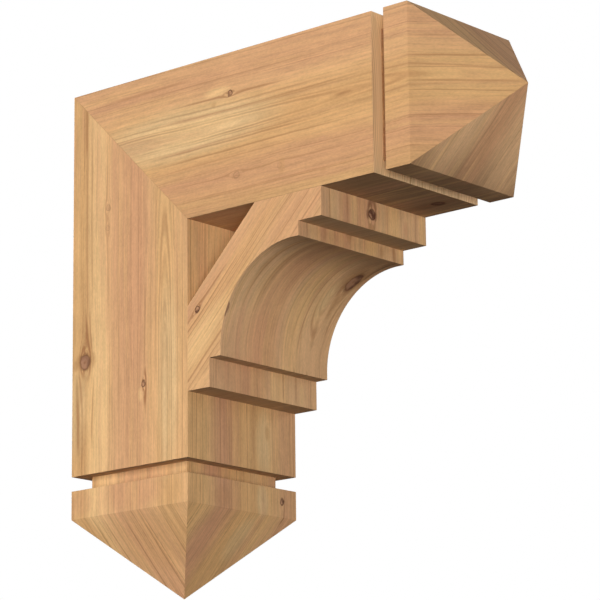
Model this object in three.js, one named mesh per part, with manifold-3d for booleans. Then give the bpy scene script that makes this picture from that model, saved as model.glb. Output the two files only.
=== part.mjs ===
// A mitred timber corbel bracket: an upright post against the wall, a level arm on top and an arched
// brace in the corner between them. All three are sawn to one width and stand flush at both sides.
//
// Millimetres, +Z up. The wall face is the plane Y = 0 and the bracket stands out of it towards -Y.
// X runs across the bracket and is 0 at the middle of its width. The origin is the middle of the
// flat stretch of the wall face, where the bracket is fixed.

import * as THREE from "three";
import { mergeVertices } from "three/addons/utils/BufferGeometryUtils.js";
import Module from "manifold-3d";

const INCH = 25.4;

// Overall sizes
const bracketWidth = 5.5 * INCH;
const drop = 18 * INCH;
const projection = 18 * INCH;

// Timber sections, beside the common width
const postDepth = 5.5 * INCH;
const armHeight = 5.5 * INCH;

// The shaped end that the post and the arm share: a groove round all four faces, a square block,
// and a four-sided point
const grooveWidth = 0.5 * INCH;
const grooveDepth = 0.5 * INCH;
const blockLength = 1 * INCH;
const pointLength = 2.75 * INCH;

// The brace, measured from the inner corner where the post's front meets the arm's underside
const footDrop = 6 * INCH;
const headReach = 6 * INCH;
const backSetback = 78;

// The stepped block at each end of the brace, then the lip and the short straight before the arch
const stepHeight = 1 * INCH;
const stepProud = 1 * INCH;
const lipProud = 0.5 * INCH;
const archStraight = 0.25 * INCH;
const archSegments = 40;

// Clear space left in each glued joint
const jointGap = 0.3;

// What follows from the sizes above
const endLength = grooveWidth + blockLength + pointLength;
const postRun = drop - endLength;
const armRun = projection - endLength;
const mitreLength = Math.hypot(postDepth, armHeight);

const wasm = await Module();
wasm.setup();

// A closed geometry as a solid that can be cut.
function solidOf(geometry) {
  const bare = geometry.clone();
  bare.deleteAttribute("normal");
  bare.deleteAttribute("uv");
  const merged = mergeVertices(bare, 1e-4);
  return new wasm.Manifold(
    new wasm.Mesh({
      numProp: 3,
      vertProperties: merged.attributes.position.array,
      triVerts: new Uint32Array(merged.index.array),
    }),
  );
}

// A cut solid as a geometry again.
function geometryOf(solid) {
  const mesh = solid.getMesh();
  const geometry = new THREE.BufferGeometry();
  geometry.setAttribute("position", new THREE.BufferAttribute(mesh.vertProperties, 3));
  geometry.setIndex(new THREE.BufferAttribute(mesh.triVerts, 1));
  const flat = geometry.toNonIndexed();
  flat.computeVertexNormals();
  return flat;
}

// Inside this file a side outline is drawn as (out, down): out from the wall and down from the top.
// The extrusion runs across the bracket's width, centred on X = 0.
function acrossWidth(outline) {
  const geometry = new THREE.ExtrudeGeometry(outline, {
    depth: bracketWidth,
    bevelEnabled: false,
    curveSegments: archSegments,
  });
  geometry.translate(0, 0, -bracketWidth / 2);
  const turn = new THREE.Matrix4().makeBasis(
    new THREE.Vector3(0, 1, 0),
    new THREE.Vector3(0, 0, 1),
    new THREE.Vector3(1, 0, 0),
  );
  return geometry.applyMatrix4(turn);
}

// A shape through (across, along) points.
function shapeThrough(points) {
  return new THREE.Shape(points.map(([x, y]) => new THREE.Vector2(x, y)));
}

// One side of a timber's shaped end, from the groove to the tip: [distance from the centre line,
// distance along the timber].
function endSteps(halfThickness, run) {
  const neck = halfThickness - grooveDepth;
  const grooveEnd = run + grooveWidth;
  const blockEnd = grooveEnd + blockLength;
  return [
    [halfThickness, run],
    [neck, run],
    [neck, grooveEnd],
    [halfThickness, grooveEnd],
    [halfThickness, blockEnd],
  ];
}

// The whole outline of a timber from its two start points to its tip.
function timberOutline(halfThickness, run, startNear, startFar) {
  const steps = endSteps(halfThickness, run);
  const near = steps.map(([across, along]) => [-across, along]);
  const far = steps.slice().reverse();
  const tip = [0, run + endLength];
  return [startNear, ...near, tip, ...far, startFar];
}

// The timber seen square on, as wide as the bracket, from its mitred end's longest reach to its tip.
function squareOnShape(run, toPoint) {
  const half = bracketWidth / 2;
  const outline = timberOutline(half, run, [-half, 0], [half, 0]);
  return shapeThrough(outline.map(toPoint));
}

// The upright post. Its side outline has the mitre, from the wall edge at the top to the inner
// corner, and the same end is cut from the front as from the side.
function postGeometry() {
  const half = postDepth / 2;
  const clear = ((jointGap / 2) * mitreLength) / postDepth;
  const outline = timberOutline(half, postRun, [-half, clear], [half, armHeight + clear]);
  const side = shapeThrough(outline.map(([across, down]) => [-(across + half), -down]));
  const front = squareOnShape(postRun, ([across, down]) => [across, -down]);
  const frontBlank = new THREE.ExtrudeGeometry(front, { depth: postDepth, bevelEnabled: false });
  frontBlank.rotateX(Math.PI / 2);
  return geometryOf(solidOf(acrossWidth(side)).intersect(solidOf(frontBlank)));
}

// The level arm, its mitre cut the other way and its end cut from above as from the side.
function armGeometry() {
  const half = armHeight / 2;
  const clear = ((jointGap / 2) * mitreLength) / armHeight;
  const outline = timberOutline(half, armRun, [-half, clear], [half, postDepth + clear]);
  const side = shapeThrough(outline.map(([across, out]) => [-out, -(across + half)]));
  const plan = squareOnShape(armRun, ([across, out]) => [across, -out]);
  const planBlank = new THREE.ExtrudeGeometry(plan, { depth: armHeight, bevelEnabled: false });
  planBlank.translate(0, 0, -armHeight);
  return geometryOf(solidOf(acrossWidth(side)).intersect(solidOf(planBlank)));
}

// The arched brace: a straight back across the corner, a stepped block at foot and head, and a
// quarter arch between them.
function braceGeometry() {
  const near = postDepth + jointGap;
  const top = armHeight + jointGap;
  const foot = armHeight + footDrop;
  const head = postDepth + headReach;
  const legFace = postDepth + stepProud;
  const archLeg = legFace + lipProud;
  const headFace = armHeight + stepProud;
  const archCrown = headFace + lipProud;
  const footStep = foot - stepHeight;
  const headStep = head - stepHeight;
  const archFoot = footStep - archStraight;
  const archHead = headStep - archStraight;

  const outline = new THREE.Shape();
  outline.moveTo(-(postDepth + backSetback), -top);
  outline.lineTo(-near, -(armHeight + backSetback));
  outline.lineTo(-near, -foot);
  outline.lineTo(-legFace, -foot);
  outline.lineTo(-legFace, -footStep);
  outline.lineTo(-archLeg, -footStep);
  outline.lineTo(-archLeg, -archFoot);
  outline.absellipse(
    -archHead,
    -archFoot,
    archHead - archLeg,
    archFoot - archCrown,
    0,
    Math.PI / 2,
    false,
  );
  outline.lineTo(-headStep, -archCrown);
  outline.lineTo(-headStep, -headFace);
  outline.lineTo(-head, -headFace);
  outline.lineTo(-head, -top);
  return acrossWidth(outline);
}

// Bare, smooth-sawn cedar. Each timber is a slightly different board.
function cedar(colour) {
  return new THREE.MeshStandardMaterial({ color: colour, roughness: 0.72, metalness: 0 });
}

function timber(name, geometry, colour) {
  const mesh = new THREE.Mesh(geometry, cedar(colour));
  mesh.name = name;
  return mesh;
}

// The timbers are drawn from the top of the wall face, which lies half a post's run above the mount.
const timbers = new THREE.Group();
timbers.position.set(0, 0, postRun / 2);
timbers.add(
  timber("back_post", postGeometry(), 0xd2a074),
  timber("top_arm", armGeometry(), 0xcf9b70),
  timber("arch_brace", braceGeometry(), 0xd6a878),
);

const bracket = new THREE.Group();
bracket.name = "corbel_bracket";
bracket.add(timbers);

export default bracket;
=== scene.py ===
import math

import bmesh
import bpy
from mathutils import Matrix, Vector


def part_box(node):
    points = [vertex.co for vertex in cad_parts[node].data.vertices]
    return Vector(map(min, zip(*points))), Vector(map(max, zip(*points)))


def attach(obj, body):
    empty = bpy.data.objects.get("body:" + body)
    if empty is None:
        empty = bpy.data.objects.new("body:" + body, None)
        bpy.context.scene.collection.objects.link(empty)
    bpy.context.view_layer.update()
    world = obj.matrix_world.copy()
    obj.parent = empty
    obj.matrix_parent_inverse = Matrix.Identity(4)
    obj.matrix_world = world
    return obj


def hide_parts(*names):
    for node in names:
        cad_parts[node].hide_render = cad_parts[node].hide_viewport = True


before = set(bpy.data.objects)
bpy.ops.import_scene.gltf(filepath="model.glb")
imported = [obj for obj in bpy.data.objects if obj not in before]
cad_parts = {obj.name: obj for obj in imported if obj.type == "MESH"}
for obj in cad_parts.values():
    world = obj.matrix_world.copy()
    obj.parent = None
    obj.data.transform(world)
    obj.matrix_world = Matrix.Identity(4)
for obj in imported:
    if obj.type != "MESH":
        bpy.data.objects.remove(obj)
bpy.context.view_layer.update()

# The view of the bracket: a long lens a little below it and well round to its left, so that the left
# side, the fronts and the undersides all show. The roll is the small tilt of the pictured object.
VIEW_AIM = Vector((0.0033, -0.2044, -0.0356))
VIEW_DISTANCE = 2.5208
VIEW_AZIMUTH = math.radians(-49.177)
VIEW_ELEVATION = math.radians(-13.655)
VIEW_ROLL = math.radians(0.664)
SENSOR_WIDTH = 36.0
FOCAL_LENGTH = 175.05

away = Vector(
    (
        math.sin(VIEW_AZIMUTH) * math.cos(VIEW_ELEVATION),
        -math.cos(VIEW_AZIMUTH) * math.cos(VIEW_ELEVATION),
        math.sin(VIEW_ELEVATION),
    )
)
lens = bpy.data.cameras.new("view")
lens.sensor_width = SENSOR_WIDTH
lens.lens = FOCAL_LENGTH
camera = bpy.data.objects.new("view", lens)
camera.matrix_world = (
    Matrix.Translation(VIEW_AIM + away * VIEW_DISTANCE)
    @ (-away).to_track_quat("-Z", "Y").to_matrix().to_4x4()
    @ Matrix.Rotation(-VIEW_ROLL, 4, "Z")
)
bpy.context.scene.collection.objects.link(camera)
bpy.context.scene.camera = camera


# The studio: a white surround, soft panels of light and a pale floor, which is as far below as under a
# high eave and throws no soft light back. The strongest panel is near the camera, the next is beyond
# the left side, and the rest give the fronts, the right and the back less.
PANEL_DISTANCE = 3.0
PANEL_SIZE = 1.2
SURROUND_LIGHT = 0.03
FLOOR_LEVEL = -6.0
FLOOR_HALF = 30.0
FLOOR_GLOW = 1.0
FLOOR_TONE = (0.86, 0.86, 0.85, 1)
FLOOR_ROUGHNESS = 0.9
WHITE = (1, 1, 1, 1)


def add_node(tree, kind, options=None, inputs=None):
    """A node with its options set, and each input given by name or number filled or linked."""
    node = tree.nodes.new(kind)
    for name, value in (options or {}).items():
        setattr(node, name, value)
    for key, value in (inputs or {}).items():
        if isinstance(value, bpy.types.NodeSocket):
            tree.links.new(value, node.inputs[key])
        else:
            node.inputs[key].default_value = value
    return node


def light_panel(name, azimuth, elevation, strength):
    """A square panel of light that gives a white surface facing it that share of full white."""
    around = math.radians(azimuth)
    above = math.radians(elevation)
    towards = Vector(
        (
            math.sin(around) * math.cos(above),
            -math.cos(around) * math.cos(above),
            math.sin(above),
        )
    )
    panel = bpy.data.lights.new(name, "AREA")
    panel.size = PANEL_SIZE
    panel.energy = strength * (math.pi * PANEL_DISTANCE) ** 2
    lamp = bpy.data.objects.new(name, panel)
    lamp.matrix_world = (
        Matrix.Translation(VIEW_AIM + towards * PANEL_DISTANCE)
        @ towards.to_track_quat("Z", "Y").to_matrix().to_4x4()
    )
    lamp.visible_camera = False
    bpy.context.scene.collection.objects.link(lamp)


light_panel("left_panel", -112, 8, 0.53)
light_panel("camera_panel", -49, -12, 0.70)
light_panel("front_panel", 58, 8, 0.24)
light_panel("right_panel", 90, 20, 0.30)
light_panel("back_panel", 165, 30, 0.50)
light_panel("top_panel", 135, 75, 0.20)

surround = bpy.data.worlds.new("studio")
surround.use_nodes = True
surround.node_tree.nodes.clear()
seen = add_node(surround.node_tree, "ShaderNodeLightPath").outputs["Is Camera Ray"]
unseen_light = add_node(
    surround.node_tree,
    "ShaderNodeMapRange",
    inputs={"Value": seen, "To Min": SURROUND_LIGHT, "To Max": 1.0},
)
backdrop = add_node(
    surround.node_tree,
    "ShaderNodeBackground",
    inputs={"Color": WHITE, "Strength": unseen_light.outputs["Result"]},
)
add_node(
    surround.node_tree,
    "ShaderNodeOutputWorld",
    inputs={"Surface": backdrop.outputs["Background"]},
)
bpy.context.scene.world = surround
bpy.context.scene.view_settings.view_transform = "Standard"
bpy.context.scene.view_settings.look = "None"

floor_paint = bpy.data.materials.new("pale_floor")
floor_paint.use_nodes = True
floor_shader = floor_paint.node_tree.nodes["Principled BSDF"]
floor_shader.inputs["Base Color"].default_value = FLOOR_TONE
floor_shader.inputs["Roughness"].default_value = FLOOR_ROUGHNESS
floor_shader.inputs["Emission Color"].default_value = WHITE
floor_seen = add_node(floor_paint.node_tree, "ShaderNodeLightPath").outputs["Is Camera Ray"]
floor_glow = add_node(
    floor_paint.node_tree,
    "ShaderNodeMapRange",
    inputs={"Value": floor_seen, "To Min": 0.0, "To Max": FLOOR_GLOW},
)
floor_paint.node_tree.links.new(floor_glow.outputs["Result"], floor_shader.inputs["Emission Strength"])
floor_sheet = bpy.data.meshes.new("floor")
floor_sheet.from_pydata(
    [
        (-FLOOR_HALF, -FLOOR_HALF, FLOOR_LEVEL),
        (FLOOR_HALF, -FLOOR_HALF, FLOOR_LEVEL),
        (FLOOR_HALF, FLOOR_HALF, FLOOR_LEVEL),
        (-FLOOR_HALF, FLOOR_HALF, FLOOR_LEVEL),
    ],
    [],
    [(0, 1, 2, 3)],
)
floor_sheet.materials.append(floor_paint)
floor = bpy.data.objects.new("floor", floor_sheet)
floor.visible_diffuse = False
floor.visible_shadow = False
bpy.context.scene.collection.objects.link(floor)


# The post: an upright square timber of bare, smooth-sawn red cedar that lies against the wall. Its top
# is mitred to the arm. Near its foot a groove runs round all four faces, above a square block that is
# sawn to a four-sided point. It is held by the mitre's glue and by fixings that run into the wall.
INCH = 0.0254
TOP_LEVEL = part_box("top_arm")[1].z
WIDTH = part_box("back_post")[1].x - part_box("back_post")[0].x
POST_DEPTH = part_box("back_post")[1].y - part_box("back_post")[0].y
POST_LENGTH = TOP_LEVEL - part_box("back_post")[0].z
ARM_HEIGHT = TOP_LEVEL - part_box("top_arm")[0].z
ARM_LENGTH = -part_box("top_arm")[0].y
GROOVE_WIDTH = 0.5 * INCH
GROOVE_DEPTH = 0.5 * INCH
BLOCK_LENGTH = 1 * INCH
POINT_LENGTH = 2.75 * INCH
GLUE_LINE = 0.0001
WELD = 0.00001
EASED_EDGE = 0.00025
LEAST_EASED_ANGLE = math.radians(20)
PARALLEL = 0.999
CROSS_CUT = 0.9
SLANT_LOW = -0.8
SLANT_HIGH = -0.6
FACE_STEP = 0.2
FACE_COUNT = 4


def figure(tree, operation, *values):
    """The result of one sum on numbers or sockets."""
    node = add_node(tree, "ShaderNodeMath", {"operation": operation}, dict(enumerate(values)))
    return node.outputs[0]


def vector(tree, x, y, z):
    """Three numbers or sockets as one vector."""
    node = add_node(tree, "ShaderNodeCombineXYZ", inputs={"X": x, "Y": y, "Z": z})
    return node.outputs["Vector"]


def shaped_timber_tree():
    """A square timber along +Z: a mitre at its start, then the groove, the block and the point."""
    tree = bpy.data.node_groups.new("shaped timber", "GeometryNodeTree")
    sizes = [
        "Width",
        "Depth",
        "Mitre",
        "Length",
        "Groove Width",
        "Groove Depth",
        "Block Length",
        "Point Length",
        "Clearance",
    ]
    for name in sizes:
        tree.interface.new_socket(name, in_out="INPUT", socket_type="NodeSocketFloat")
    tree.interface.new_socket("Turn", in_out="INPUT", socket_type="NodeSocketVector")
    tree.interface.new_socket("Place", in_out="INPUT", socket_type="NodeSocketVector")
    tree.interface.new_socket("Timber", in_out="INPUT", socket_type="NodeSocketMaterial")
    tree.interface.new_socket("Geometry", in_out="OUTPUT", socket_type="NodeSocketGeometry")
    given = add_node(tree, "NodeGroupInput").outputs

    point = add_node(tree, "GeometryNodeInputPosition").outputs["Position"]
    across, through, _ = add_node(tree, "ShaderNodeSeparateXYZ", inputs={"Vector": point}).outputs
    slope = figure(tree, "ADD", figure(tree, "DIVIDE", through, given["Depth"]), 0.5)
    mitre = figure(tree, "MULTIPLY_ADD", slope, given["Mitre"], given["Clearance"])
    section = add_node(
        tree,
        "GeometryNodeMeshGrid",
        inputs={
            "Size X": given["Width"],
            "Size Y": given["Depth"],
            "Vertices X": 2,
            "Vertices Y": 2,
        },
    )
    mitred = add_node(
        tree,
        "GeometryNodeSetPosition",
        inputs={
            "Geometry": section.outputs["Mesh"],
            "Position": vector(tree, across, through, mitre),
        },
    ).outputs["Geometry"]
    start_cap = add_node(tree, "GeometryNodeFlipFaces", inputs={"Mesh": mitred}).outputs["Mesh"]

    half_width = figure(tree, "MULTIPLY", given["Width"], 0.5)
    half_depth = figure(tree, "MULTIPLY", given["Depth"], 0.5)
    neck_width = figure(tree, "SUBTRACT", half_width, given["Groove Depth"])
    neck_depth = figure(tree, "SUBTRACT", half_depth, given["Groove Depth"])
    point_start = figure(tree, "SUBTRACT", given["Length"], given["Point Length"])
    block_start = figure(tree, "SUBTRACT", point_start, given["Block Length"])
    groove_start = figure(tree, "SUBTRACT", block_start, given["Groove Width"])
    sign_across = figure(tree, "SIGN", across)
    sign_through = figure(tree, "SIGN", through)
    skin = mitred
    cut_face = None
    for station, reach_across, reach_through in [
        (groove_start, half_width, half_depth),
        (groove_start, neck_width, neck_depth),
        (block_start, neck_width, neck_depth),
        (block_start, half_width, half_depth),
        (point_start, half_width, half_depth),
        (given["Length"], 0.0, 0.0),
    ]:
        longer = add_node(
            tree,
            "GeometryNodeExtrudeMesh",
            {"mode": "FACES"},
            {"Mesh": skin, "Offset Scale": 0.0, "Individual": False},
        )
        if cut_face:
            tree.links.new(cut_face, longer.inputs["Selection"])
        cut_face = longer.outputs["Top"]
        corner = vector(
            tree,
            figure(tree, "MULTIPLY", sign_across, reach_across),
            figure(tree, "MULTIPLY", sign_through, reach_through),
            station,
        )
        skin = add_node(
            tree,
            "GeometryNodeSetPosition",
            inputs={"Geometry": longer.outputs["Mesh"], "Selection": cut_face, "Position": corner},
        ).outputs["Geometry"]

    parts = add_node(tree, "GeometryNodeJoinGeometry")
    tree.links.new(start_cap, parts.inputs["Geometry"])
    tree.links.new(skin, parts.inputs["Geometry"])
    closed = add_node(
        tree,
        "GeometryNodeMergeByDistance",
        inputs={"Geometry": parts.outputs["Geometry"], "Distance": WELD},
    )
    placed = add_node(
        tree,
        "GeometryNodeTransform",
        inputs={
            "Geometry": closed.outputs["Geometry"],
            "Translation": given["Place"],
            "Rotation": given["Turn"],
        },
    )
    real = add_node(
        tree,
        "GeometryNodeRealizeInstances",
        inputs={"Geometry": placed.outputs["Geometry"]},
    )
    coated = add_node(
        tree,
        "GeometryNodeSetMaterial",
        inputs={"Geometry": real.outputs["Geometry"], "Material": given["Timber"]},
    )
    add_node(tree, "NodeGroupOutput", inputs={"Geometry": coated.outputs["Geometry"]})
    return tree


def sawn_timber(name, depth, mitre, length, turn, place, timber):
    """The tree's result for these sizes, turned and put in place, as the plain mesh of a new object."""
    tree = bpy.data.node_groups.get("shaped timber") or shaped_timber_tree()
    values = {
        "Width": WIDTH,
        "Depth": depth,
        "Mitre": mitre,
        "Length": length,
        "Groove Width": GROOVE_WIDTH,
        "Groove Depth": GROOVE_DEPTH,
        "Block Length": BLOCK_LENGTH,
        "Point Length": POINT_LENGTH,
        "Clearance": GLUE_LINE / math.sqrt(2),
        "Turn": turn,
        "Place": place,
        "Timber": timber,
    }
    holder = bpy.data.objects.new(name, bpy.data.meshes.new(name + "_blank"))
    bpy.context.scene.collection.objects.link(holder)
    modifier = holder.modifiers.new("shape", "NODES")
    modifier.node_group = tree
    for item in tree.interface.items_tree:
        if item.in_out == "INPUT":
            modifier[item.identifier] = values[item.name]
    evaluated = holder.evaluated_get(bpy.context.evaluated_depsgraph_get())
    shape = bpy.data.meshes.new_from_object(evaluated)
    holder.modifiers.remove(modifier)
    holder.data = shape
    shape.materials.clear()
    shape.materials.append(timber)
    return holder


def ease_edges(solid, joint_normals):
    """Takes the sharpness off each outward edge, but not off an edge of a glued face."""
    glued = set()
    for face in solid.faces:
        if any(face.normal.dot(normal) > PARALLEL for normal in joint_normals):
            glued.add(face)
    sharp = [
        edge
        for edge in solid.edges
        if edge.is_convex
        and edge.calc_face_angle() > LEAST_EASED_ANGLE
        and not glued.intersection(edge.link_faces)
    ]
    bmesh.ops.bevel(
        solid,
        geom=sharp,
        offset=EASED_EDGE,
        segments=2,
        profile=0.5,
        affect="EDGES",
        clamp_overlap=True,
    )


def lay_timber_grain(solid, lengthwise, inward, point_start):
    """Lays the grain along the timber: each side's across and along in metres, one side per step.
    Faces sawn across the grain are marked, and so are the slanting ones that look down, which are
    painted light: coloured lighter, as if more light fell on them. The point's faces slope at 45
    degrees, so the grain runs farther along them."""
    corner = Vector((-WIDTH / 2, 0, TOP_LEVEL))
    sideways = Vector((1, 0, 0))
    grain = solid.loops.layers.uv.new("grain")
    end_grain = solid.faces.layers.float.new("end_grain")
    painted_light_slant = solid.faces.layers.float.new("painted_light_slant")
    for face in solid.faces:
        normal = face.normal
        # Painted light: a downward slanting face is marked to be coloured lighter than its wood.
        face[painted_light_slant] = 1.0 if SLANT_LOW < normal.z < SLANT_HIGH else 0.0
        if abs(normal.dot(lengthwise)) > CROSS_CUT:
            face[end_grain] = 1.0
        over_left = -normal.dot(sideways)
        over_inner = normal.dot(inward)
        if abs(over_left) > abs(over_inner):
            side = 0 if over_left > 0 else 2
            across_axis = inward
        else:
            side = 1 if over_inner > 0 else 3
            across_axis = sideways
        for loop in face.loops:
            reach = loop.vert.co - corner
            along = reach.dot(lengthwise)
            past_block = max(0.0, along - point_start)
            extra_length = past_block * (math.sqrt(2) - 1)
            loop[grain].uv = (side * FACE_STEP + reach.dot(across_axis), along + extra_length)


CREAM = (0.825, 0.523, 0.242)
OAT = (0.770, 0.525, 0.262)
STRAW = (0.745, 0.445, 0.192)
HONEY = (0.670, 0.382, 0.160)
PEACH = (0.700, 0.400, 0.193)
SALMON = (0.650, 0.342, 0.172)
ROSE = (0.600, 0.305, 0.162)
TAN = (0.560, 0.300, 0.125)
LATEWOOD = (0.340, 0.140, 0.050)
BROWN = (0.430, 0.215, 0.085)
# The cross cuts' tone of the post and brace: end grain, made darker also as painted shade in the post's
# groove and on the brace's undersides.
END_GRAIN_AND_SHADE = (0.470, 0.300, 0.160)
KNOT_RIM = (0.120, 0.046, 0.022)
KNOT_WOOD = (0.410, 0.205, 0.115)
KNOT_HEART = (0.260, 0.110, 0.052)

WANDER = 0.008
WAVER = 0.0032
SHIVER = 0.0006
KNOT_RAGGED = 0.0032
KNOT_UNEVEN = 0.0038
PARTING_SQUEEZE = 0.16
CRESCENT_ASIDE = 0.42
CRESCENT_ABOVE = -0.34
FAR_AWAY = 9.0
ARCH_DEPTH = 0.55 * INCH
CROWDED_YEARS = 5.0
MOTTLE_SHARE = 0.40
END_SHARE = 0.85
# How much lighter the downward slanting faces are painted, as painted light.
PAINTED_LIGHT_SHARE = 0.2
RELIEF_STRENGTH = 0.25
RELIEF_DEPTH = 0.0003
EARLYWOOD_ROUGHNESS = 0.78
LATEWOOD_ROUGHNESS = 0.62
SHINE = 0.2


def soft_step(tree, value, low, high, at_low=0.0, at_high=1.0):
    """A smooth change from one number to another as the value goes from low to high."""
    return add_node(
        tree,
        "ShaderNodeMapRange",
        {"interpolation_type": "SMOOTHSTEP"},
        {"Value": value, "From Min": low, "From Max": high, "To Min": at_low, "To Max": at_high},
    ).outputs["Result"]


def streak_group():
    """How strongly one dark line of grain shows here: it follows the grain and fades at both ends."""
    tree = bpy.data.node_groups.new("streak", "ShaderNodeTree")
    for name in ["Across", "Along", "Centre", "Start", "End", "Half Width", "Strength"]:
        tree.interface.new_socket(name, in_out="INPUT", socket_type="NodeSocketFloat")
    tree.interface.new_socket("Cover", in_out="OUTPUT", socket_type="NodeSocketFloat")
    given = add_node(tree, "NodeGroupInput").outputs
    beside = figure(tree, "SUBTRACT", given["Across"], given["Centre"])
    beside = figure(tree, "DIVIDE", figure(tree, "ABSOLUTE", beside), given["Half Width"])
    middle = figure(tree, "MULTIPLY", figure(tree, "ADD", given["Start"], given["End"]), 0.5)
    reach = figure(tree, "SUBTRACT", given["End"], middle)
    beyond = figure(tree, "SUBTRACT", given["Along"], middle)
    beyond = figure(tree, "DIVIDE", figure(tree, "ABSOLUTE", beyond), reach)
    core = soft_step(tree, beside, 0.3, 2.5, 1.0, 0.0)
    ends = soft_step(tree, beyond, 0.45, 1.0, 1.0, 0.0)
    cover = figure(tree, "MULTIPLY", figure(tree, "MULTIPLY", core, ends), given["Strength"])
    add_node(tree, "NodeGroupOutput", inputs={"Cover": cover})
    return tree


def knot_group():
    """How a knot parts the grain round it, and how far its own wood and its dark rim reach."""
    tree = bpy.data.node_groups.new("knot", "ShaderNodeTree")
    places = ["Across", "Along", "Centre Across", "Centre Along"]
    for name in [*places, "Radius", "Stretch", "Rim", "Fill", "Shade"]:
        tree.interface.new_socket(name, in_out="INPUT", socket_type="NodeSocketFloat")
    for name in ["Push", "Ring", "Wood", "Dark"]:
        tree.interface.new_socket(name, in_out="OUTPUT", socket_type="NodeSocketFloat")
    given = add_node(tree, "NodeGroupInput").outputs
    beside = figure(tree, "SUBTRACT", given["Across"], given["Centre Across"])
    beyond = figure(tree, "SUBTRACT", given["Along"], given["Centre Along"])
    beyond = figure(tree, "DIVIDE", beyond, given["Stretch"])
    beside_squared = figure(tree, "MULTIPLY", beside, beside)
    beyond_squared = figure(tree, "MULTIPLY", beyond, beyond)
    stretched = figure(tree, "MULTIPLY_ADD", beyond_squared, PARTING_SQUEEZE, beside_squared)
    radius_squared = figure(tree, "MULTIPLY", given["Radius"], given["Radius"])
    reach = figure(tree, "MAXIMUM", stretched, figure(tree, "MULTIPLY", radius_squared, 0.5))
    push = figure(tree, "DIVIDE", figure(tree, "MULTIPLY", radius_squared, beside), reach)
    round_squared = figure(tree, "ADD", beyond_squared, beside_squared)
    ring = figure(tree, "DIVIDE", figure(tree, "SQRT", round_squared), given["Radius"])
    wood = soft_step(tree, ring, 0.90, 1.12, given["Fill"], 0.0)
    aside = figure(tree, "MULTIPLY_ADD", given["Radius"], CRESCENT_ASIDE, beside)
    above = figure(tree, "MULTIPLY_ADD", given["Radius"], CRESCENT_ABOVE, beyond)
    moved_squared = figure(tree, "MULTIPLY_ADD", above, above, figure(tree, "MULTIPLY", aside, aside))
    moved = figure(tree, "DIVIDE", figure(tree, "SQRT", moved_squared), given["Radius"])
    crescent = soft_step(tree, moved, 0.55, 1.15, 0.0, given["Shade"])
    crescent = figure(tree, "MULTIPLY", crescent, soft_step(tree, ring, 0.95, 1.25, 1.0, 0.0))
    rim = soft_step(tree, ring, 0.70, 0.98, 0.0, given["Rim"])
    rim = figure(tree, "MULTIPLY", rim, soft_step(tree, ring, 1.02, 1.38, 1.0, 0.0))
    dark = figure(tree, "MAXIMUM", crescent, rim)
    add_node(
        tree,
        "NodeGroupOutput",
        inputs={"Push": push, "Ring": ring, "Wood": wood, "Dark": dark},
    )
    return tree


def noise(tree, across, along, across_scale, along_scale, seed, detail=1.0):
    """Soft noise about 0, stretched along the grain."""
    place = vector(
        tree,
        figure(tree, "MULTIPLY", across, across_scale),
        figure(tree, "MULTIPLY", along, along_scale),
        seed,
    )
    cloud = add_node(
        tree,
        "ShaderNodeTexNoise",
        inputs={"Vector": place, "Scale": 1.0, "Detail": detail, "Roughness": 0.5},
    )
    return figure(tree, "SUBTRACT", cloud.outputs[0], 0.5)


def blend(tree, factor, under, over, kind="MIX"):
    """One colour over another by a factor."""
    node = add_node(
        tree,
        "ShaderNodeMix",
        {"data_type": "RGBA", "blend_type": kind},
        {0: factor, 6: under, 7: over},
    )
    return node.outputs[2]


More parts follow.
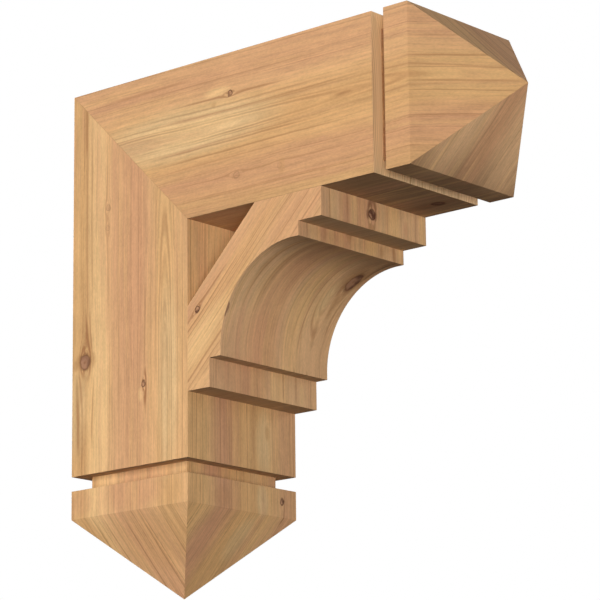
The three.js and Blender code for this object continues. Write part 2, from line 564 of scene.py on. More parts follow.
def cedar(
    name, bands, patches, knots, streaks, arches, loops, rings, contrast, end_tone, pith, pith_axis, seed
):
    """Red cedar for one timber. bands: each side's tones as (inches across, tone). patches: softly
    edged areas of another tone. knots, streaks and arches: their places on the laid-out sides, in
    inches, where an arch is the pointed figure of a flat-sawn face. loops: the arches' darker lines.
    rings: yearly rings in a metre. contrast: how dark their latewood shows."""
    material = bpy.data.materials.new(name)
    material.use_nodes = True
    tree = material.node_tree
    shader = tree.nodes["Principled BSDF"]
    laid_out = add_node(tree, "ShaderNodeUVMap", {"uv_map": "grain"}).outputs["UV"]
    across, along, _ = add_node(tree, "ShaderNodeSeparateXYZ", inputs={"Vector": laid_out}).outputs

    # The line of grain that a place is on: it bends, and it gives way round each knot.
    wander = noise(tree, across, along, 16, 2.2, seed)
    waver = noise(tree, across, along, 45, 10, seed + 3.1)
    shiver = noise(tree, across, along, 300, 70, seed + 5.7)
    line = figure(tree, "MULTIPLY_ADD", wander, WANDER, across)
    line = figure(tree, "MULTIPLY_ADD", waver, WAVER, line)
    line = figure(tree, "MULTIPLY_ADD", shiver, SHIVER, line)
    knot_tree = bpy.data.node_groups.get("knot") or knot_group()
    ragged = noise(tree, across, along, 220, 220, seed + 2.2, 2.0)
    ragged = figure(tree, "MULTIPLY", ragged, KNOT_RAGGED)
    uneven = noise(tree, across, along, 200, 200, seed + 4.6, 2.0)
    uneven = figure(tree, "MULTIPLY", uneven, KNOT_UNEVEN)
    knot_wood = 0.0
    knot_dark = 0.0
    ring = FAR_AWAY
    pushes = []
    for side, knot_across, knot_along, radius, stretch, rim, fill, shade in knots:
        knot = add_node(
            tree,
            "ShaderNodeGroup",
            {"node_tree": knot_tree},
            {
                "Across": figure(tree, "ADD", across, ragged),
                "Along": figure(tree, "ADD", along, uneven),
                "Centre Across": side * FACE_STEP + knot_across * INCH,
                "Centre Along": knot_along * INCH,
                "Radius": radius * INCH,
                "Stretch": stretch,
                "Rim": rim,
                "Fill": fill,
                "Shade": shade,
            },
        )
        pushes.append(knot.outputs["Push"])
        knot_wood = figure(tree, "MAXIMUM", knot_wood, knot.outputs["Wood"])
        knot_dark = figure(tree, "MAXIMUM", knot_dark, knot.outputs["Dark"])
        ring = figure(tree, "MINIMUM", ring, knot.outputs["Ring"])
    for push in pushes:
        line = figure(tree, "SUBTRACT", line, push)

    # The single dark lines, and then the pointed figure: growth is how far a place is from the middle
    # of the nearest arch.
    streak_tree = bpy.data.node_groups.get("streak") or streak_group()
    streaked = 0.0
    for side, streak_across, start, end, half_width, streak_strength in streaks:
        streak = add_node(
            tree,
            "ShaderNodeGroup",
            {"node_tree": streak_tree},
            {
                "Across": line,
                "Along": along,
                "Centre": side * FACE_STEP + streak_across * INCH,
                "Start": start * INCH,
                "End": end * INCH,
                "Half Width": half_width * INCH,
                "Strength": streak_strength,
            },
        )
        streaked = figure(tree, "MAXIMUM", streaked, streak.outputs["Cover"])

    growth = FAR_AWAY
    for side, arch_across, arch_along, taper in arches:
        beside = figure(tree, "SUBTRACT", line, side * FACE_STEP + arch_across * INCH)
        beyond = figure(tree, "SUBTRACT", along, arch_along * INCH)
        depth = figure(tree, "MAXIMUM", figure(tree, "MULTIPLY", beyond, taper), 0.0)
        depth = figure(tree, "MINIMUM", depth, ARCH_DEPTH)
        squares = figure(tree, "MULTIPLY_ADD", depth, depth, figure(tree, "MULTIPLY", beside, beside))
        growth = figure(tree, "MINIMUM", growth, figure(tree, "SQRT", squares))

    for loop_growth, half_width, loop_strength in loops:
        beside = figure(tree, "SUBTRACT", growth, loop_growth * INCH)
        beside = figure(tree, "DIVIDE", figure(tree, "ABSOLUTE", beside), half_width * INCH)
        faded = soft_step(tree, noise(tree, across, along, 30, 12, seed + loop_growth), -0.2, 0.2)
        faded = figure(tree, "MULTIPLY_ADD", faded, 0.7, 0.3)
        core = soft_step(tree, beside, 0.0, 2.0, loop_strength, 0.0)
        streaked = figure(tree, "MAXIMUM", streaked, figure(tree, "MULTIPLY", core, faded))

    # On faces that are cut across the grain, growth is how far a place is from the pith.
    place = add_node(tree, "ShaderNodeTexCoord").outputs["Object"]
    from_pith = add_node(
        tree,
        "ShaderNodeVectorMath",
        {"operation": "SUBTRACT"},
        {0: place, 1: pith},
    ).outputs["Vector"]
    in_section = add_node(
        tree,
        "ShaderNodeVectorMath",
        {"operation": "MULTIPLY"},
        {0: from_pith, 1: pith_axis},
    ).outputs["Vector"]
    radius = add_node(
        tree,
        "ShaderNodeVectorMath",
        {"operation": "LENGTH"},
        {0: in_section},
    ).outputs["Value"]
    end_grain = add_node(tree, "ShaderNodeAttribute", {"attribute_name": "end_grain"}).outputs["Fac"]
    growth = add_node(
        tree,
        "ShaderNodeMix",
        {"data_type": "FLOAT"},
        {0: end_grain, 2: growth, 3: radius},
    ).outputs[0]

    # The yearly rings: each ends in a dark line of its own strength, which fades and breaks along it.
    crowding = noise(tree, growth, along, 45, 0.4, seed + 7.3)
    years = figure(tree, "MULTIPLY", growth, rings)
    years = figure(tree, "MULTIPLY_ADD", crowding, CROWDED_YEARS, years)
    year = figure(tree, "FLOOR", years)
    season = figure(tree, "FRACT", years)
    chance = add_node(
        tree,
        "ShaderNodeTexWhiteNoise",
        {"noise_dimensions": "1D"},
        {"W": figure(tree, "ADD", year, seed)},
    ).outputs["Value"]
    rise = soft_step(tree, season, 0.35, 0.90)
    fall = soft_step(tree, season, 0.90, 1.0, 1.0, 0.0)
    chance = figure(tree, "POWER", chance, 2.5)
    strength = figure(tree, "MULTIPLY_ADD", chance, contrast * 1.2, contrast / 6)
    fade = soft_step(tree, noise(tree, growth, along, 60, 9, seed + 9.9), -0.25, 0.25, 0.35, 1.0)
    latewood = figure(tree, "MULTIPLY", figure(tree, "MULTIPLY", rise, fall), strength)
    dash = soft_step(tree, noise(tree, growth, along, 420, 130, seed + 11.6), -0.15, 0.15, 0.55, 1.0)
    latewood = figure(tree, "MULTIPLY", latewood, figure(tree, "MULTIPLY", fade, dash))
    across_cut = figure(tree, "MULTIPLY_ADD", end_grain, 1.6, 1.0)
    latewood = figure(tree, "MULTIPLY", latewood, across_cut)

    # The tones: broad bands, patches on them, a mottle of straw and rose, and the cross cuts' tone,
    # which on the post and the brace is also painted shade.
    tones = add_node(
        tree,
        "ShaderNodeValToRGB",
        inputs={"Fac": figure(tree, "DIVIDE", line, FACE_STEP * FACE_COUNT)},
    )
    tones.color_ramp.interpolation = "B_SPLINE"
    stops = [
        ((side * FACE_STEP + inches * INCH) / (FACE_STEP * FACE_COUNT), tone)
        for side, side_bands in enumerate(bands)
        for inches, tone in side_bands
    ]
    spare = tones.color_ramp.elements
    spare.remove(spare[1])
    spare[0].position = stops[0][0]
    spare[0].color = (*stops[0][1], 1)
    for position, tone in stops[1:]:
        spare.new(position).color = (*tone, 1)
    colour = tones.outputs["Color"]
    for side, patch_across, patch_along, half_across, half_along, tone, weight in patches:
        beside = figure(tree, "SUBTRACT", line, side * FACE_STEP + patch_across * INCH)
        beside = figure(tree, "DIVIDE", beside, half_across * INCH)
        beyond = figure(tree, "SUBTRACT", along, patch_along * INCH)
        beyond = figure(tree, "DIVIDE", beyond, half_along * INCH)
        spread = figure(tree, "MULTIPLY_ADD", beyond, beyond, figure(tree, "MULTIPLY", beside, beside))
        colour = blend(tree, soft_step(tree, spread, 0.0, 1.6, weight, 0.0), colour, (*tone, 1))

    mottle = noise(tree, growth, along, 110, 5, seed + 12.4, 3.0)
    colour = blend(tree, soft_step(tree, mottle, 0.0, 0.18, 0.0, MOTTLE_SHARE), colour, (*STRAW, 1))
    colour = blend(tree, soft_step(tree, mottle, -0.18, 0.0, MOTTLE_SHARE, 0.0), colour, (*ROSE, 1))
    colour = blend(tree, figure(tree, "MULTIPLY", end_grain, END_SHARE), colour, (*end_tone, 1))

    # Fibres, threads, stripes, dapples and specks, which make the tones a little lighter or darker.
    fibre = noise(tree, growth, along, 1000, 60, seed + 15.2, 2.0)
    thread = noise(tree, growth, along, 620, 4, seed + 16.8)
    stripe = noise(tree, growth, along, 330, 5, seed + 17.5, 2.0)
    dapple = noise(tree, across, along, 170, 34, seed + 18.3, 2.0)
    speck = noise(tree, across, along, 900, 350, seed + 19.1)
    light = 1.0
    for cloud, weight in [
        (fibre, 0.26),
        (thread, 0.55 * contrast),
        (stripe, 0.65 * contrast),
        (dapple, 0.30),
        (speck, 0.26),
    ]:
        light = figure(tree, "MULTIPLY_ADD", cloud, weight, light)
    # Painted light: the downward slanting faces are coloured lighter, as if more light fell on them.
    painted_light_slant = add_node(tree, "ShaderNodeAttribute", {"attribute_name": "painted_light_slant"}).outputs["Fac"]
    light = figure(tree, "MULTIPLY", light, figure(tree, "MULTIPLY_ADD", painted_light_slant, PAINTED_LIGHT_SHARE, 1.0))
    colour = blend(tree, 1.0, colour, vector(tree, light, light, light), "MULTIPLY")

    # The dark lines go over the tones, and the knots over both.
    latewood = figure(tree, "MAXIMUM", latewood, streaked)
    colour = blend(tree, latewood, colour, (*LATEWOOD, 1))
    knot_tones = add_node(tree, "ShaderNodeValToRGB", inputs={"Fac": ring})
    knot_stops = knot_tones.color_ramp.elements
    knot_stops[0].position = 0.0
    knot_stops[0].color = (*KNOT_HEART, 1)
    knot_stops[1].position = 1.0
    knot_stops[1].color = (*KNOT_HEART, 1)
    knot_stops.new(0.30).color = (*KNOT_WOOD, 1)
    knot_stops.new(0.80).color = (*KNOT_WOOD, 1)
    colour = blend(tree, knot_wood, colour, knot_tones.outputs["Color"])
    broken = soft_step(tree, noise(tree, across, along, 150, 150, seed + 21.7), -0.14, 0.10, 0.62, 1.0)
    colour = blend(tree, figure(tree, "MULTIPLY", knot_dark, broken), colour, (*KNOT_RIM, 1))
    tree.links.new(colour, shader.inputs["Base Color"])

    # The dark lines lie a little lower than the wood between them, and are a little smoother.
    height = figure(tree, "MULTIPLY_ADD", latewood, -0.6, figure(tree, "MULTIPLY", fibre, 0.5))
    relief = add_node(
        tree,
        "ShaderNodeBump",
        inputs={"Height": height, "Strength": RELIEF_STRENGTH, "Distance": RELIEF_DEPTH},
    )
    tree.links.new(relief.outputs["Normal"], shader.inputs["Normal"])
    roughness = soft_step(tree, latewood, 0.0, 0.6, EARLYWOOD_ROUGHNESS, LATEWOOD_ROUGHNESS)
    tree.links.new(roughness, shader.inputs["Roughness"])
    shader.inputs["Specular IOR Level"].default_value = SHINE
    return material


post_cedar = cedar(
    "post_cedar",
    bands=[
        [(0, HONEY), (0.3, STRAW), (0.6, TAN), (0.9, CREAM), (1.5, CREAM), (1.8, PEACH), (2.3, PEACH),
         (2.8, SALMON), (3.7, PEACH), (4.5, STRAW), (5.5, PEACH)],
        [(0, STRAW), (0.4, HONEY), (0.9, STRAW), (1.3, PEACH), (1.7, ROSE), (2.1, SALMON), (2.5, HONEY),
         (3.3, HONEY), (4.0, STRAW), (4.6, PEACH), (5.2, SALMON)],
        [(0, STRAW), (1.5, SALMON), (3.0, PEACH), (4.2, STRAW), (5.5, TAN)],
        [(0, SALMON), (1.8, PEACH), (3.4, STRAW), (5.5, PEACH)],
    ],
    patches=[
        (0, 1.25, 10.6, 0.5, 2.2, CREAM, 0.75),
        (0, 0.3, 11.5, 0.5, 1.6, OAT, 0.6),
        (0, 4.6, 10.8, 0.5, 3.6, OAT, 0.8),
        (0, 2.7, 7.0, 1.0, 6.5, ROSE, 0.42),
        (0, 0.5, 14.7, 0.5, 0.5, ROSE, 0.45),
        (0, 1.6, 14.8, 0.4, 0.4, CREAM, 0.50),
        (0, 2.9, 14.6, 1.4, 0.6, SALMON, 0.75),
        (0, 4.8, 14.8, 0.5, 0.7, HONEY, 0.70),
        (0, 2.75, 16.7, 5.0, 1.2, TAN, 0.40),
        (0, 0.64, 9.72, 0.40, 0.34, BROWN, 0.70),
        (0, 0.68, 9.10, 0.12, 0.65, BROWN, 0.75),
        (0, 0.22, 9.85, 0.22, 0.2, BROWN, 0.55),
        (0, 0.30, 11.2, 0.10, 1.0, BROWN, 0.55),
        (0, 0.45, 12.8, 0.30, 1.2, BROWN, 0.40),
        (0, 3.47, 11.5, 0.07, 0.5, BROWN, 0.45),
        (0, 3.25, 11.3, 0.12, 0.25, CREAM, 0.60),
        # Painted light: a cream patch lightens the post's front inside the corner opening, which the arm
        # and brace shade.
        (1, 2.2, 6.8, 3.5, 2.3, CREAM, 1.00),
        (1, 3.9, 12.8, 0.40, 1.2, OAT, 0.70),
        (1, 4.05, 12.4, 0.10, 0.3, TAN, 0.60),
        (1, 0.7, 12.9, 0.35, 0.7, STRAW, 0.60),
        (1, 1.7, 14.9, 0.40, 0.4, BROWN, 0.30),
        (1, 3.75, 14.8, 0.28, 0.6, OAT, 0.80),
        (1, 1.6, 16.6, 0.60, 1.2, ROSE, 0.60),
        (1, 3.4, 16.4, 0.40, 1.0, OAT, 0.50),
    ],
    knots=[
        (0, 0.62, 9.77, 0.24, 1.1, 0.45, 0.90, 0.60),
        (0, 3.45, 10.95, 0.090, 1.3, 1.00, 0.55, 1.0),
        (0, 1.72, 4.40, 0.10, 1.0, 0.25, 0.22, 0.0),
        (0, 1.72, 5.15, 0.09, 1.0, 0.20, 0.20, 0.0),
        (1, 4.75, 14.70, 0.085, 1.4, 1.00, 0.55, 0.9),
        (2, 3.9, 6.3, 0.15, 1.2, 0.50, 0.75, 0.8),
        (3, 2.2, 9.5, 0.18, 1.1, 0.50, 0.80, 0.8),
    ],
    streaks=[
        (0, 0.70, 0.5, 9.6, 0.030, 0.42),
        (0, 0.66, 0.2, 2.6, 0.045, 0.60),
        (0, 0.64, 7.7, 10.7, 0.035, 0.75),
        (0, 0.80, 7.8, 9.7, 0.022, 0.50),
        (0, 0.95, 1.0, 8.5, 0.030, 0.40),
        (0, 0.40, 3.0, 9.2, 0.020, 0.25),
        (0, 0.95, 10.1, 13.0, 0.030, 0.45),
        (0, 0.46, 9.9, 11.5, 0.035, 0.55),
        (0, 0.30, 10.8, 13.2, 0.035, 0.50),
        (0, 3.45, 10.2, 11.9, 0.028, 0.85),
        (0, 4.00, 3.2, 12.0, 0.018, 0.35),
        (0, 4.28, 4.5, 13.7, 0.018, 0.35),
        (0, 1.72, 1.5, 9.0, 0.025, 0.40),
        (0, 2.20, 2.0, 13.0, 0.015, 0.25),
        (0, 3.45, 7.0, 10.9, 0.014, 0.50),
        (0, 3.75, 3.5, 13.7, 0.015, 0.25),
        (0, 5.05, 5.0, 16.0, 0.020, 0.35),
        (0, 5.30, 4.0, 16.0, 0.015, 0.35),
        (0, 0.95, 14.9, 19.5, 0.020, 0.45),
        (0, 1.45, 14.9, 19.5, 0.018, 0.50),
        (0, 2.35, 15.0, 19.5, 0.022, 0.45),
        (0, 3.05, 15.0, 19.5, 0.016, 0.50),
        (0, 4.10, 15.0, 19.5, 0.020, 0.45),
        (0, 4.65, 15.0, 19.5, 0.014, 0.40),
        (1, 4.76, 14.2, 15.8, 0.020, 0.70),
        (1, 0.16, 4.5, 10.0, 0.020, 0.50),
        (1, 0.28, 4.0, 17.0, 0.014, 0.40),
        (1, 0.88, 4.5, 9.5, 0.030, 0.40),
        (1, 0.46, 7.0, 16.0, 0.014, 0.45),
        (1, 1.36, 4.0, 17.5, 0.016, 0.40),
        (1, 1.62, 5.0, 16.0, 0.016, 0.45),
        (1, 2.20, 4.0, 18.0, 0.018, 0.40),
        (1, 3.02, 4.0, 17.0, 0.014, 0.50),
        (1, 3.30, 8.0, 17.5, 0.012, 0.35),
        (1, 3.44, 9.0, 15.0, 0.012, 0.35),
        (1, 4.32, 9.0, 16.5, 0.016, 0.28),
        (1, 5.14, 9.0, 16.0, 0.012, 0.45),
        (2, 1.10, 3.0, 12.0, 0.025, 0.35),
        (2, 3.90, 2.0, 12.0, 0.020, 0.35),
        (3, 2.20, 4.0, 13.0, 0.020, 0.35),
    ],
    arches=[(0, 4.45, 11.8, -0.05), (1, -0.6, 3.0, 0.0), (2, 1.4, 9.0, -0.06), (3, 3.6, 5.0, 0.05)],
    loops=[(0.10, 0.018, 0.25), (0.17, 0.022, 0.38), (0.25, 0.020, 0.30), (0.33, 0.024, 0.45)],
    rings=420,
    contrast=0.44,
    end_tone=END_GRAIN_AND_SHADE,
    pith=(-0.25, -0.05, 0),
    pith_axis=(1, 1, 0),
    seed=2.3,
)
back_post = sawn_timber(
    "post",
    depth=POST_DEPTH,
    mitre=ARM_HEIGHT,
    length=POST_LENGTH,
    turn=(math.pi, 0, 0),
    place=(0, -POST_DEPTH / 2, TOP_LEVEL),
    timber=post_cedar,
)


def finish_timber(piece, joint_normals, lengthwise, inward, length):
    """Eases the edges of a sawn timber and lays the grain on its sides."""
    solid = bmesh.new()
    solid.from_mesh(piece.data)
    bmesh.ops.recalc_face_normals(solid, faces=solid.faces)
    ease_edges(solid, joint_normals)
    lay_timber_grain(solid, lengthwise, inward, length - POINT_LENGTH)
    solid.to_mesh(piece.data)
    solid.free()


MITRE_NORMAL = Vector((0, -POST_DEPTH, ARM_HEIGHT)).normalized()
DOWN = Vector((0, 0, -1))
OUT = Vector((0, -1, 0))
finish_timber(back_post, [MITRE_NORMAL], DOWN, OUT, POST_LENGTH)
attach(back_post, "root")
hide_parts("back_post")


# The arm: the same timber laid level on top, to carry the load. It is mitred and glued to the post at
# the wall end, and its free end has the same groove, block and four-sided point.
PALE = (0.735, 0.448, 0.232)
# Painted shade: a dark brown that colours the arm's underside and the top of the brace's arch darker.
PAINTED_SHADE_UMBER = (0.295, 0.171, 0.089)
PALE_END = (0.870, 0.600, 0.328)
arm_cedar = cedar(
    "arm_cedar",
    bands=[
        [(0, PEACH), (0.6, SALMON), (1.4, PEACH), (2.0, HONEY), (3.5, HONEY), (4.4, ROSE), (5.2, HONEY)],
        # The arm's underside is painted dark brown all over, as painted shade.
        [(0, PAINTED_SHADE_UMBER), (5.5, PAINTED_SHADE_UMBER)],
        [(0, SALMON), (1.5, PEACH), (3.0, STRAW), (4.2, PEACH), (5.5, SALMON)],
        [(0, PEACH), (1.8, STRAW), (3.4, SALMON), (5.5, PEACH)],
    ],
    patches=[
        (0, 2.40, 5.4, 0.95, 4.2, OAT, 1.0),
        (0, 2.35, 5.6, 0.50, 2.4, CREAM, 0.6),
        # Painted shade: a dark patch on the left face of the neck, deep in the groove.
        (0, 2.75, 14.0, 6.0, 0.25, KNOT_HEART, 0.95),
        (0, 1.28, 6.9, 0.15, 0.6, CREAM, 0.8),
        (0, 2.6, 17.0, 0.9, 2.0, STRAW, 0.7),
        (0, 4.0, 17.0, 0.7, 2.0, SALMON, 0.6),
        (0, 2.52, 12.5, 0.07, 0.4, BROWN, 0.55),
        (0, 1.66, 6.75, 0.09, 0.12, BROWN, 0.45),
        (0, 3.90, 11.6, 0.10, 0.15, SALMON, 0.60),
        (0, 4.95, 11.6, 0.12, 0.15, BROWN, 0.30),
        (0, 4.45, 9.80, 0.25, 0.15, TAN, 0.50),
        # The lighter patches on the underside, in the corner opening and at the block and point, leave
        # less painted shade there.
        (1, 2.75, 6.60, 4.5, 1.6, PALE, 0.5),
        (1, 4.4, 12.5, 0.25, 0.9, KNOT_RIM, 0.35),
        (1, 4.4, 12.9, 0.14, 0.24, KNOT_RIM, 0.90),
        (1, 1.3, 19.0, 1.4, 4.0, PALE, 1.0),
        (1, 2.9, 19.0, 0.9, 4.0, SALMON, 0.8),
        (1, 4.4, 19.0, 1.4, 4.0, PALE, 1.0),
    ],
    knots=[
        (0, 1.46, 7.50, 0.10, 1.0, 1.00, 0.50, 0.9),
        (0, 4.40, 7.77, 0.12, 1.0, 0.25, 0.20, 0.0),
        (0, 4.45, 9.70, 0.10, 1.0, 0.15, 0.10, 0.0),
        (1, 4.4, 12.9, 0.13, 1.6, 0.90, 0.20, 1.0),
        (2, 2.6, 5.2, 0.16, 1.1, 0.50, 0.75, 0.8),
        (3, 3.3, 8.4, 0.19, 1.1, 0.50, 0.80, 0.8),
    ],
    streaks=[
        (0, 0.62, 1.5, 6.0, 0.030, 0.40),
        (0, 0.85, 2.5, 13.0, 0.020, 0.30),
        (0, 1.46, 4.5, 10.5, 0.022, 0.60),
        (0, 1.75, 2.0, 13.0, 0.020, 0.35),
        (0, 1.95, 4.0, 13.7, 0.022, 0.45),
        (0, 3.10, 3.0, 12.0, 0.022, 0.45),
        (0, 3.42, 3.0, 13.7, 0.020, 0.50),
        (0, 3.70, 3.0, 12.0, 0.018, 0.30),
        (0, 4.30, 4.0, 13.7, 0.018, 0.35),
        (0, 4.85, 5.0, 13.7, 0.018, 0.35),
        (0, 2.52, 12.2, 13.0, 0.030, 0.45),
        (0, 1.15, 14.6, 19.5, 0.016, 0.35),
        (0, 1.80, 14.5, 19.0, 0.024, 0.50),
        (0, 2.25, 14.6, 19.5, 0.016, 0.40),
        (0, 2.72, 14.6, 19.5, 0.028, 0.45),
        (0, 3.05, 14.6, 19.5, 0.016, 0.40),
        (0, 3.90, 14.6, 19.5, 0.018, 0.40),
        (3, 1.00, 14.6, 19.5, 0.060, 0.30),
        (3, 1.75, 14.6, 19.5, 0.030, 0.45),
        (3, 2.40, 14.6, 19.5, 0.050, 0.35),
        (3, 3.10, 14.6, 19.5, 0.040, 0.50),
        (3, 3.80, 14.6, 19.5, 0.060, 0.35),
        (3, 4.60, 14.6, 19.5, 0.040, 0.40),
        (1, 1.10, 15.0, 19.5, 0.020, 0.30),
        (1, 2.35, 14.0, 19.5, 0.015, 0.35),
        (1, 4.40, 9.0, 16.0, 0.020, 0.40),
        (2, 1.20, 3.0, 13.0, 0.025, 0.35),
        (2, 3.60, 3.0, 13.0, 0.020, 0.35),
        (3, 2.40, 3.0, 13.0, 0.020, 0.35),
    ],
    arches=[(0, 2.5, 5.0, 0.035), (1, 6.2, 3.0, 0.0), (2, 2.2, 6.0, 0.06), (3, 3.0, 9.0, -0.05)],
    loops=[(0.19, 0.022, 0.35), (0.28, 0.030, 0.60), (0.36, 0.022, 0.45), (0.52, 0.022, 0.45)],
    rings=400,
    contrast=0.42,
    end_tone=PALE_END,
    pith=(-0.4, 0, 0.1),
    pith_axis=(1, 0, 1),
    seed=31.6,
)
top_arm = sawn_timber(
    "arm",
    depth=ARM_HEIGHT,
    mitre=POST_DEPTH,
    length=ARM_LENGTH,
    turn=(-math.pi / 2, 0, math.pi),
    place=(0, 0, TOP_LEVEL - ARM_HEIGHT / 2),
    timber=arm_cedar,
)
finish_timber(top_arm, [-MITRE_NORMAL], OUT, DOWN, ARM_LENGTH)
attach(top_arm, "root")
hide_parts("top_arm")


# The brace: one piece of the same cedar with its grain at 45 degrees, bandsawn to a quarter arch with
# a stepped block and a lip at its foot and at its head. Its back is straight across the corner. It is
# glued between the front of the post and the underside of the arm.
BRACE_DROP = 6 * INCH
BRACE_REACH = 6 * INCH
BACK_SETBACK = 0.078
STEP_HEIGHT = 1 * INCH
STEP_PROUD = 1 * INCH
LIP_PROUD = 0.5 * INCH
ARCH_STRAIGHT = 0.25 * INCH
ARCH_PIECES = 90
HEAD_GRAIN_START = 8 * INCH
TOUCHING = 0.001
DOWN_FACING = -0.9999
SIDE_FACING = 0.7
BACK_FACING = 0.1
LEAST_SLANT = 0.001
SQUARE_ON = 0.01
near = POST_DEPTH + GLUE_LINE
under = ARM_HEIGHT + GLUE_LINE
foot = ARM_HEIGHT + BRACE_DROP
head = POST_DEPTH + BRACE_REACH
leg_face = POST_DEPTH + STEP_PROUD
arch_leg = leg_face + LIP_PROUD
head_face = ARM_HEIGHT + STEP_PROUD
arch_crown = head_face + LIP_PROUD
foot_step = foot - STEP_HEIGHT
head_step = head - STEP_HEIGHT
arch_out = head_step - ARCH_STRAIGHT
arch_down = foot_step - ARCH_STRAIGHT
ARCH_TURNS = [math.pi / 2 * step / ARCH_PIECES for step in range(ARCH_PIECES + 1)]
brace_outline = [
    (POST_DEPTH + BACK_SETBACK, under),
    (near, ARM_HEIGHT + BACK_SETBACK),
    (near, foot),
    (leg_face, foot),
    (leg_face, foot_step),
    (arch_leg, foot_step),
    *(
        (
            arch_out - (arch_out - arch_leg) * math.cos(turn),
            arch_down - (arch_down - arch_crown) * math.sin(turn),
        )
        for turn in ARCH_TURNS
    ),
    (head_step, arch_crown),
    (head_step, head_face),
    (head, head_face),
    (head, under),
]

solid = bmesh.new()
left_rim = [solid.verts.new((-WIDTH / 2, -out, TOP_LEVEL - down)) for out, down in brace_outline]
right_rim = [solid.verts.new((WIDTH / 2, -out, TOP_LEVEL - down)) for out, down in brace_outline]
solid.faces.new(left_rim)
solid.faces.new(reversed(right_rim))
for number, corner in enumerate(left_rim):
    solid.faces.new((corner, left_rim[number - 1], right_rim[number - 1], right_rim[number]))
bmesh.ops.recalc_face_normals(solid, faces=solid.faces)
ease_edges(solid, [-OUT, -DOWN])

grain = solid.loops.layers.uv.new("grain")
end_grain = solid.faces.layers.float.new("end_grain")
solid.faces.layers.float.new("painted_light_slant")
arch_radius = arch_out - arch_leg
for face in solid.faces:
    normal = face.normal
    centre = face.calc_center_median()
    on_arch = TOP_LEVEL - centre.z > arch_crown - TOUCHING
    on_head = not on_arch and -centre.y > head_step - TOUCHING
    at_crown = abs(TOP_LEVEL - centre.z - arch_crown) < TOUCHING
    # The faces that look down, but for the arch's crown, take the end-grain tone, which here is partly
    # painted shade on the brace's undersides.
    face[end_grain] = 1.0 if normal.z < DOWN_FACING and not at_crown else 0.0
    for loop in face.loops:
        out = -loop.vert.co.y
        down = TOP_LEVEL - loop.vert.co.z
        if abs(normal.x) > SIDE_FACING:
            side = 0 if normal.x < 0 else 2
            across = (out + down - near - ARM_HEIGHT - BACK_SETBACK) / math.sqrt(2)
            along = (out - down) / math.sqrt(2)
        else:
            side = 1 if normal.y < BACK_FACING else 3
            across = loop.vert.co.x + WIDTH / 2
            turn = math.atan2(max(0, arch_down - down), max(0, arch_out - out))
            past_crown = max(0, out - arch_out)
            if side == 3:
                along = (out - down) / math.sqrt(2)
            elif on_head:
                along = down - HEAD_GRAIN_START
            else:
                along = max(down, arch_down) - arch_radius * turn - past_crown
        loop[grain].uv = (side * FACE_STEP + across, along)
for face in solid.faces:
    on_curve = min(-face.normal.y, -face.normal.z) > LEAST_SLANT
    face.smooth = on_curve and abs(face.normal.x) < SQUARE_ON
for edge in solid.edges:
    edge.smooth = all(face.smooth for face in edge.link_faces)
brace_mesh = bpy.data.meshes.new("brace")
solid.to_mesh(brace_mesh)
solid.free()
brace = bpy.data.objects.new("brace", brace_mesh)
bpy.context.scene.collection.objects.link(brace)
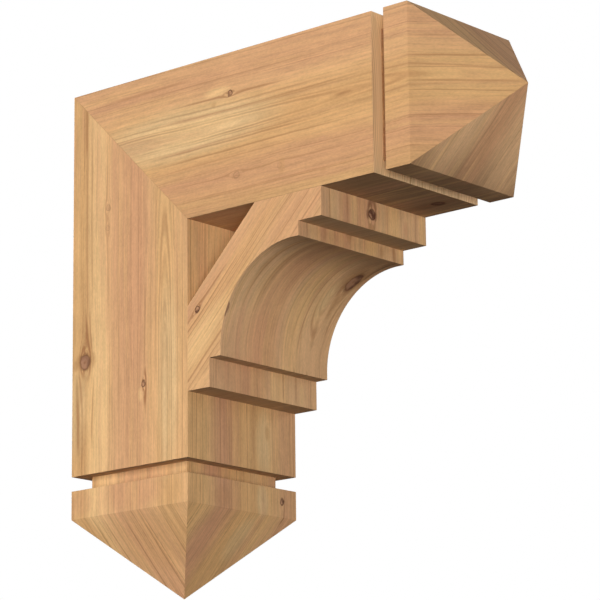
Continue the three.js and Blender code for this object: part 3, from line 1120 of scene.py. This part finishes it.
brace_cedar = cedar(
    "brace_cedar",
    bands=[
        [(0, PEACH), (0.5, SALMON), (1.1, HONEY), (2.2, PEACH)],
        [(0, PALE), (0.7, PALE), (1.1, PALE), (1.45, PEACH), (1.9, SALMON), (2.6, SALMON), (3.0, PALE),
         (3.6, STRAW), (4.2, PALE), (5.5, PEACH)],
        [(0, STRAW), (1.0, PEACH), (2.2, SALMON)],
        [(0, PEACH), (1.8, STRAW), (3.4, SALMON), (5.5, PEACH)],
    ],
    patches=[
        (0, 1.3, -2.6, 0.5, 1.8, CREAM, 0.8),
        (0, 1.6, 2.5, 0.7, 2.0, PEACH, 0.8),
        (0, 1.9, 3.2, 0.9, 2.2, SALMON, 0.6),
        (0, 0.43, -1.55, 0.03, 0.40, BROWN, 0.50),
        (0, 0.47, -2.45, 0.03, 0.45, BROWN, 0.50),
        (1, 1.2, -1.8, 0.30, 1.1, ROSE, 0.80),
        (1, 0.5, -2.0, 0.12, 0.9, CREAM, 0.60),
        (1, 1.75, -2.0, 0.20, 0.9, CREAM, 0.50),
        (1, 2.3, -1.3, 0.60, 0.4, SALMON, 0.70),
        (1, 3.65, -1.7, 0.45, 1.2, STRAW, 0.90),
        (1, 5.00, 6.60, 0.30, 0.60, BROWN, 0.75),
        (1, 5.12, 5.75, 0.06, 0.90, KNOT_RIM, 0.80),
        (1, 4.90, 7.15, 0.10, 0.35, KNOT_HEART, 0.50),
        # Painted shadow: a brown band darkens the lip's front, as the step above it would shade it.
        (1, 2.75, -1.2, 6.0, 0.35, BROWN, 0.30),
        (1, 4.4, -1.85, 0.14, 0.30, SALMON, 0.90),
        (1, 4.3, -1.2, 0.12, 0.25, BROWN, 0.55),
        (1, 5.0, -1.2, 0.09, 0.35, BROWN, 0.75),
        (1, 5.3, -2.0, 0.15, 0.9, STRAW, 0.80),
        (1, 2.64, -2.35, 0.11, 0.30, KNOT_HEART, 0.80),
        (1, 2.60, -1.60, 0.07, 0.40, BROWN, 0.70),
        (1, 2.60, -2.00, 0.15, 0.18, KNOT_HEART, 0.90),
        (1, 1.5, 11.0, 1.6, 0.7, SALMON, 0.60),
        (1, 3.25, 11.0, 0.14, 0.6, CREAM, 0.60),
        (1, 4.75, 11.1, 0.12, 0.5, CREAM, 0.60),
        (1, 0.65, 6.6, 0.12, 2.0, BROWN, 0.45),
        (1, 1.35, 6.8, 0.16, 2.0, BROWN, 0.45),
        (1, 3.4, 7.6, 0.45, 2.2, STRAW, 0.60),
        (1, 2.6, 7.9, 4.0, 1.0, CREAM, 0.22),
        (1, 2.4, 7.0, 0.20, 1.6, ROSE, 0.55),
        (1, 4.4, 7.8, 0.30, 0.9, STRAW, 0.60),
        (1, 4.95, 7.6, 0.10, 0.9, BROWN, 0.50),
        (1, 4.60, 9.0, 0.10, 0.6, BROWN, 0.40),
        (1, 4.75, 6.3, 0.40, 1.1, BROWN, 0.45),
        (1, 4.45, 7.7, 0.22, 0.8, OAT, 0.60),
        (1, 0.9, 9.8, 0.8, 1.2, SALMON, 0.35),
        # Painted shade: dark brown over the top of the arch, which looks down.
        (1, 2.75, 4.9, 6.0, 1.5, PAINTED_SHADE_UMBER, 0.55),
    ],
    knots=[
        (0, 0.45, -1.98, 0.078, 1.2, 1.00, 0.60, 1.0),
        (1, 2.6, -2.02, 0.17, 1.0, 1.00, 0.90, 1.0),
        (1, 2.57, -2.00, 0.12, 1.0, 0.60, 0.00, 1.0),
        (1, 4.95, 6.75, 0.22, 1.9, 0.50, 0.80, 0.8),
        (1, -0.03, 8.9, 0.11, 2.2, 0.50, 0.60, 0.4),
        (3, 3.3, 0.4, 0.18, 1.1, 0.50, 0.80, 0.8),
    ],
    streaks=[
        (0, 0.45, -2.8, 0.2, 0.022, 0.60),
        (0, 0.68, -4.0, 1.0, 0.022, 0.55),
        (0, 0.84, -4.5, 3.0, 0.018, 0.45),
        (0, 1.02, -4.5, 4.0, 0.014, 0.35),
        (0, 1.90, -5.0, -1.0, 0.025, 0.50),
        (0, 2.10, -5.5, -1.5, 0.018, 0.45),
        (1, 0.70, 4.5, 9.5, 0.025, 0.35),
        (1, 3.05, 5.0, 10.0, 0.022, 0.25),
        (1, 3.55, 5.2, 10.0, 0.020, 0.35),
        (1, 3.90, 5.2, 10.5, 0.022, 0.45),
        (1, 5.15, 7.2, 9.4, 0.025, 0.45),
        (0, 1.20, -1.0, 4.4, 0.016, 0.45),
        (0, 1.38, -3.0, 1.8, 0.014, 0.40),
        (0, 1.75, 1.0, 4.6, 0.018, 0.45),
        (0, 2.15, 1.8, 5.2, 0.020, 0.45),
        (0, 2.55, 2.4, 5.6, 0.018, 0.40),
        (1, 0.35, 10.2, 11.6, 0.014, 0.40),
        (1, 2.40, 10.2, 11.6, 0.014, 0.40),
        (1, 3.76, 10.2, 11.6, 0.020, 0.60),
        (1, 4.45, 10.2, 11.6, 0.030, 0.45),
        (1, 5.20, 10.2, 11.6, 0.014, 0.40),
        (1, 0.45, -2.8, -0.8, 0.016, 0.50),
        (1, 1.35, -2.8, -0.8, 0.020, 0.50),
        (1, 3.35, -2.8, -0.8, 0.014, 0.40),
        (1, 4.95, -2.8, -0.8, 0.030, 0.45),
        (2, 0.80, -4.0, 3.0, 0.015, 0.35),
        (3, 2.20, -3.0, 3.0, 0.020, 0.35),
    ],
    arches=[(0, -1.0, 0.0, 0.0), (1, 4.58, 6.9, 0.21), (2, 3.0, 0.0, 0.0), (3, 2.6, 0.0, 0.1)],
    loops=[(0.15, 0.024, 0.25), (0.29, 0.026, 0.42), (0.45, 0.030, 0.55)],
    rings=300,
    contrast=0.34,
    end_tone=END_GRAIN_AND_SHADE,
    pith=(-0.4, 0, 0.1),
    pith_axis=(1, 0, 1),
    seed=54.2,
)
brace_mesh.materials.append(brace_cedar)
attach(brace, "root")
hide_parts("arch_brace")
